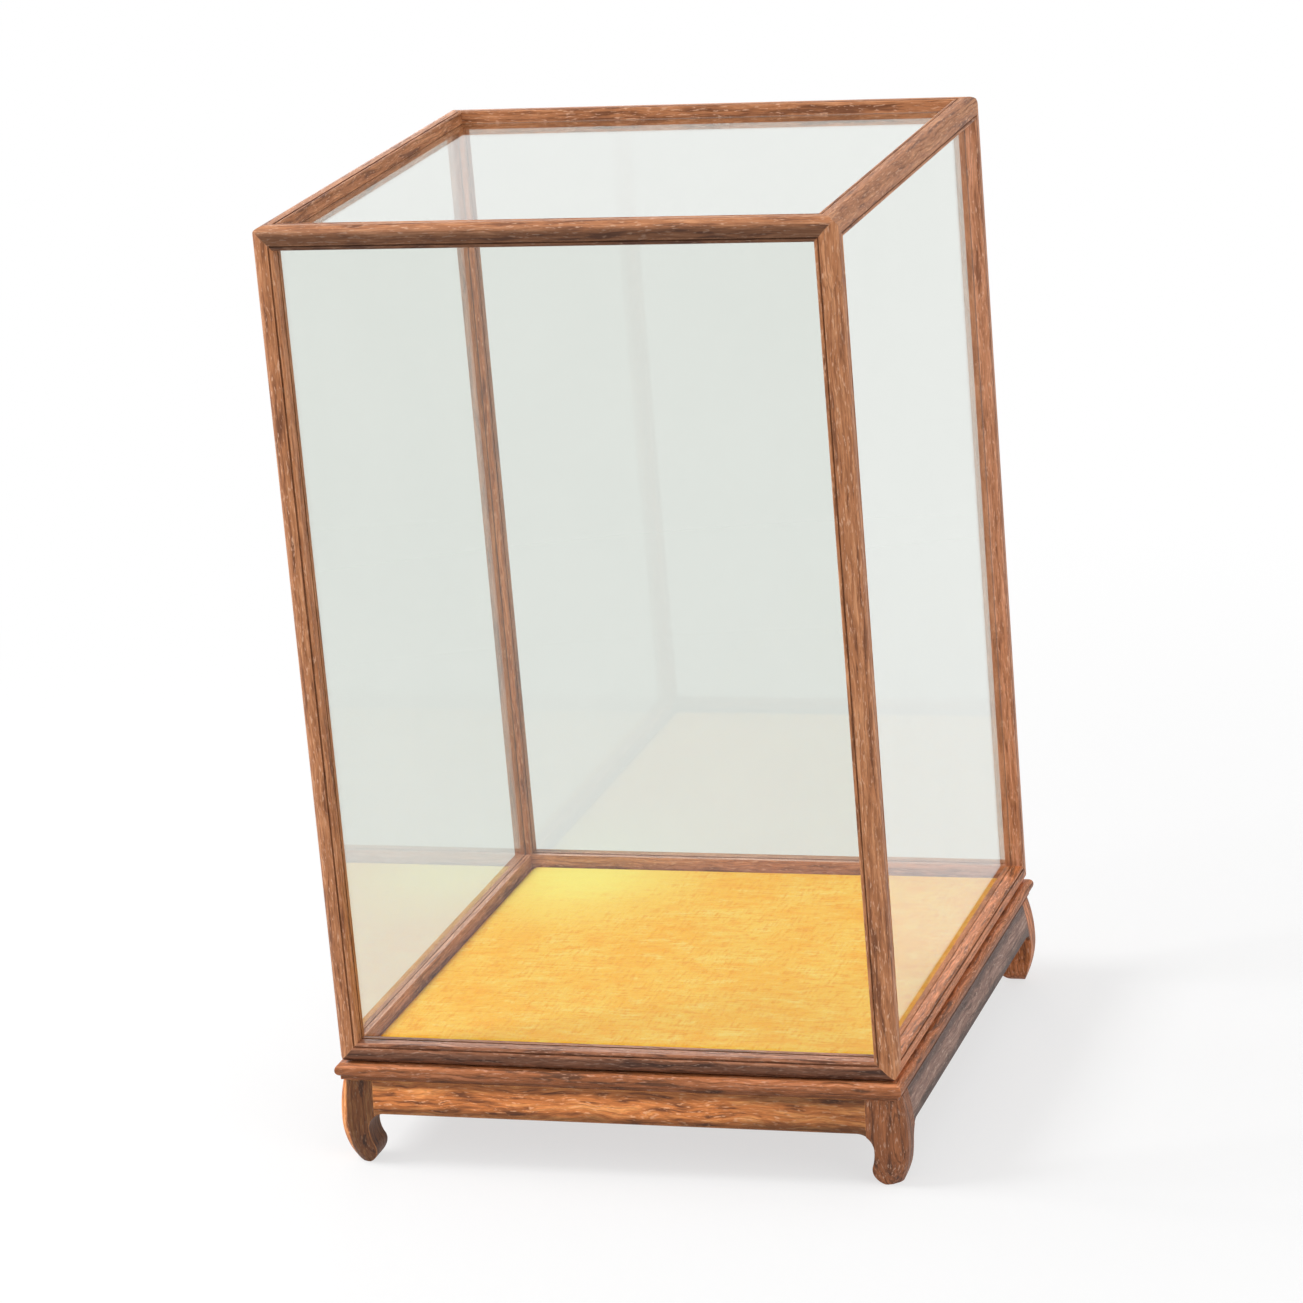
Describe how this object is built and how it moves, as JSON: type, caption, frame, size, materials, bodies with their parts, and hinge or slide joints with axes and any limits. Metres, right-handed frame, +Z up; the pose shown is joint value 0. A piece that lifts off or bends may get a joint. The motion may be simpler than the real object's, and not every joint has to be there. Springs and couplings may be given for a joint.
{
  "type": "figure display case",
  "caption": "Glazed lift-off cover of mitred wooden bars on a low footed wooden stand with a yellow cloth-covered display board.",
  "frame": {"origin": "middle of the floor under the four feet", "axes": "+Z up, the front faces -Y, +X to the right seen from the front"},
  "size_m": [0.2238, 0.2238, 0.366],
  "materials": {
    "cover_wood": "oiled reddish-brown hardwood with dark streaks",
    "stand_wood": "polished brown hardwood with golden figure on the aprons",
    "panel_wood": "plain brown hardwood",
    "board": "bare thin board under cloth",
    "cloth": "golden yellow satin cloth",
    "glass": "clear"
  },
  "bodies": {
    "stand": {"rim_front": "stand_wood", "rim_back": "stand_wood", "rim_left": "stand_wood", "rim_right": "stand_wood", "floor_panel": "panel_wood", "leg_front_left": "stand_wood", "leg_front_right": "stand_wood", "leg_back_left": "stand_wood", "leg_back_right": "stand_wood", "apron_front": "stand_wood", "apron_back": "stand_wood", "apron_left": "stand_wood", "apron_right": "stand_wood", "display_board": "board", "yellow_cloth": "cloth"},
    "cover": {"post_front_left": "cover_wood", "post_front_right": "cover_wood", "post_back_left": "cover_wood", "post_back_right": "cover_wood", "top_rail_front": "cover_wood", "top_rail_back": "cover_wood", "top_rail_left": "cover_wood", "top_rail_right": "cover_wood", "bottom_rail_front": "cover_wood", "bottom_rail_back": "cover_wood", "bottom_rail_left": "cover_wood", "bottom_rail_right": "cover_wood", "glass_front": "glass", "glass_back": "glass", "glass_left": "glass", "glass_right": "glass", "glass_top": "glass"}
  },
  "joints": [
    {"name": "cover_lift", "type": "slide", "parent": "stand", "child": "cover", "axis": [0, 0, 1], "range_m": [0, 0.34]}
  ]
}
